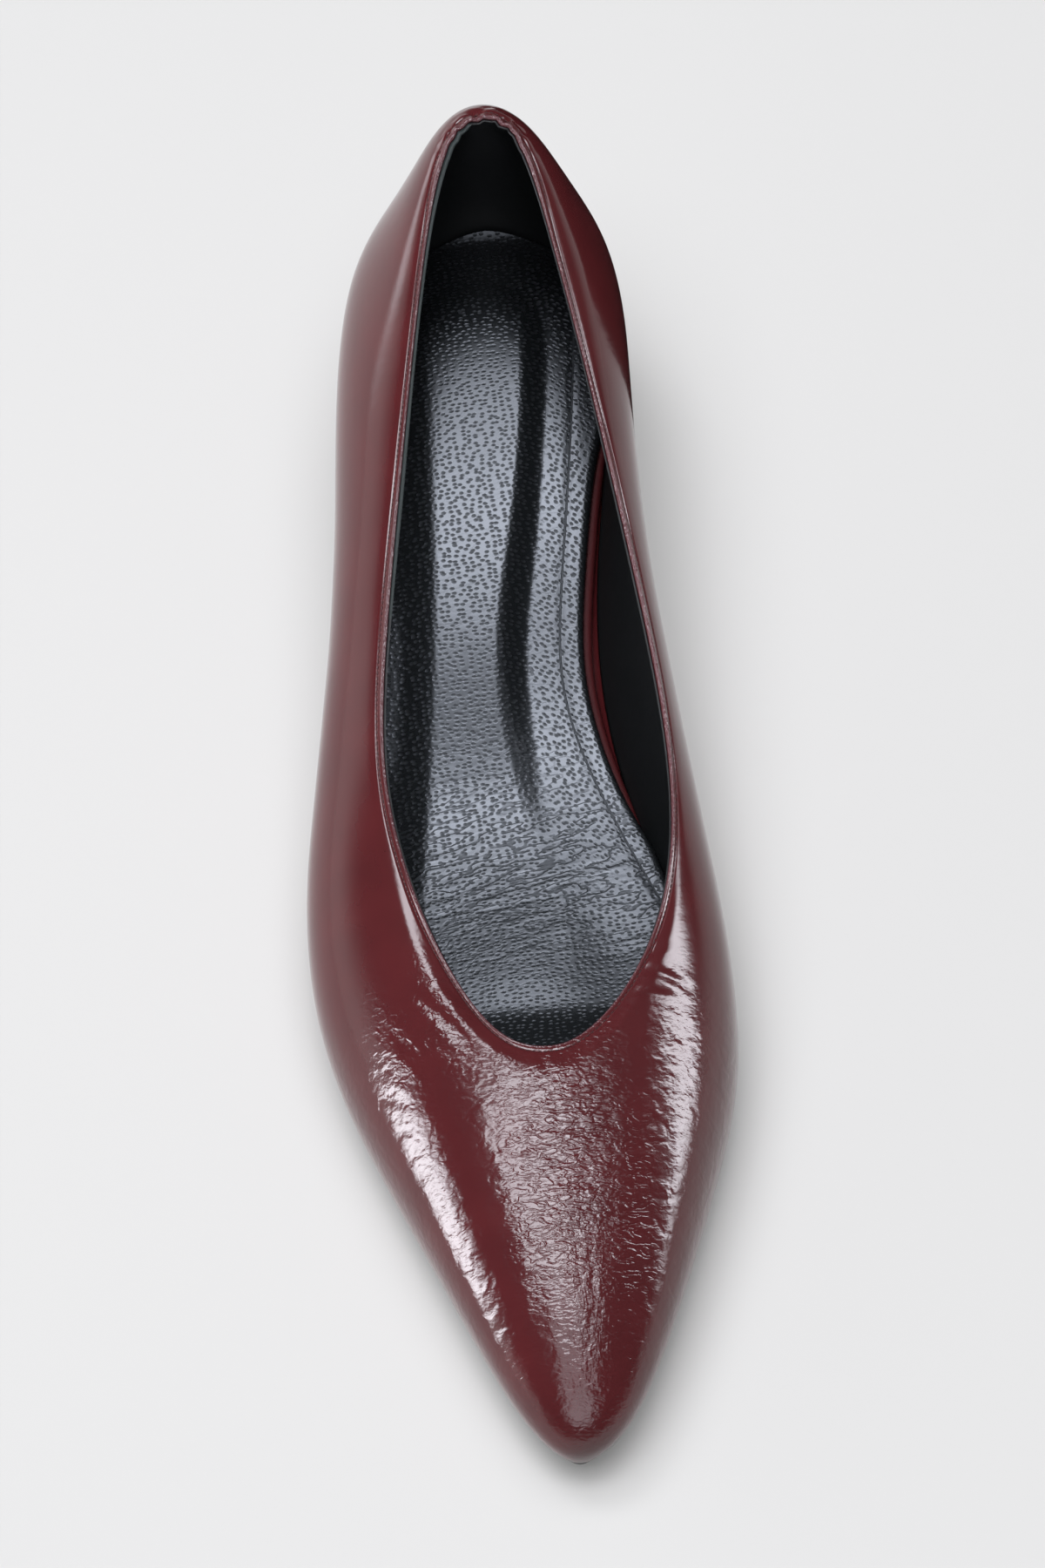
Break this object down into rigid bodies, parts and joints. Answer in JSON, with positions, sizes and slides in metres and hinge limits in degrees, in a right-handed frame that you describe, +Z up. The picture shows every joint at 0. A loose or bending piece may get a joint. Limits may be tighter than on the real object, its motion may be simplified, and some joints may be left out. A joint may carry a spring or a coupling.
{
  "type": "low stiletto pump",
  "caption": "Pointed low-heeled pump for the right foot: hollow glossy leather upper open at the topline, padded sock on an insole, thin arched sole, slim heel and top lift.",
  "frame": {"origin": "on the floor, under the middle of the shoe's box", "axes": "+Z up, toe towards -Y, heel towards +Y, medial (big toe) side towards +X"},
  "size_m": [0.0816, 0.2666, 0.0844],
  "materials": {
    "glossy_leather": "burgundy crinkled leather under a glossy coat, black lining inside",
    "insole_cover": "insole board wrapped in burgundy leather",
    "grained_leather": "black milled-grain leather over thin padding",
    "sole": "matt black sole sheet",
    "heel_cover": "heel block covered in the upper's leather",
    "lift": "matt black"
  },
  "bodies": {
    "root": {"upper": "glossy_leather", "insole": "insole_cover", "sock": "grained_leather", "outsole": "sole", "heel": "heel_cover", "top_lift": "lift"}
  },
  "joints": []
}
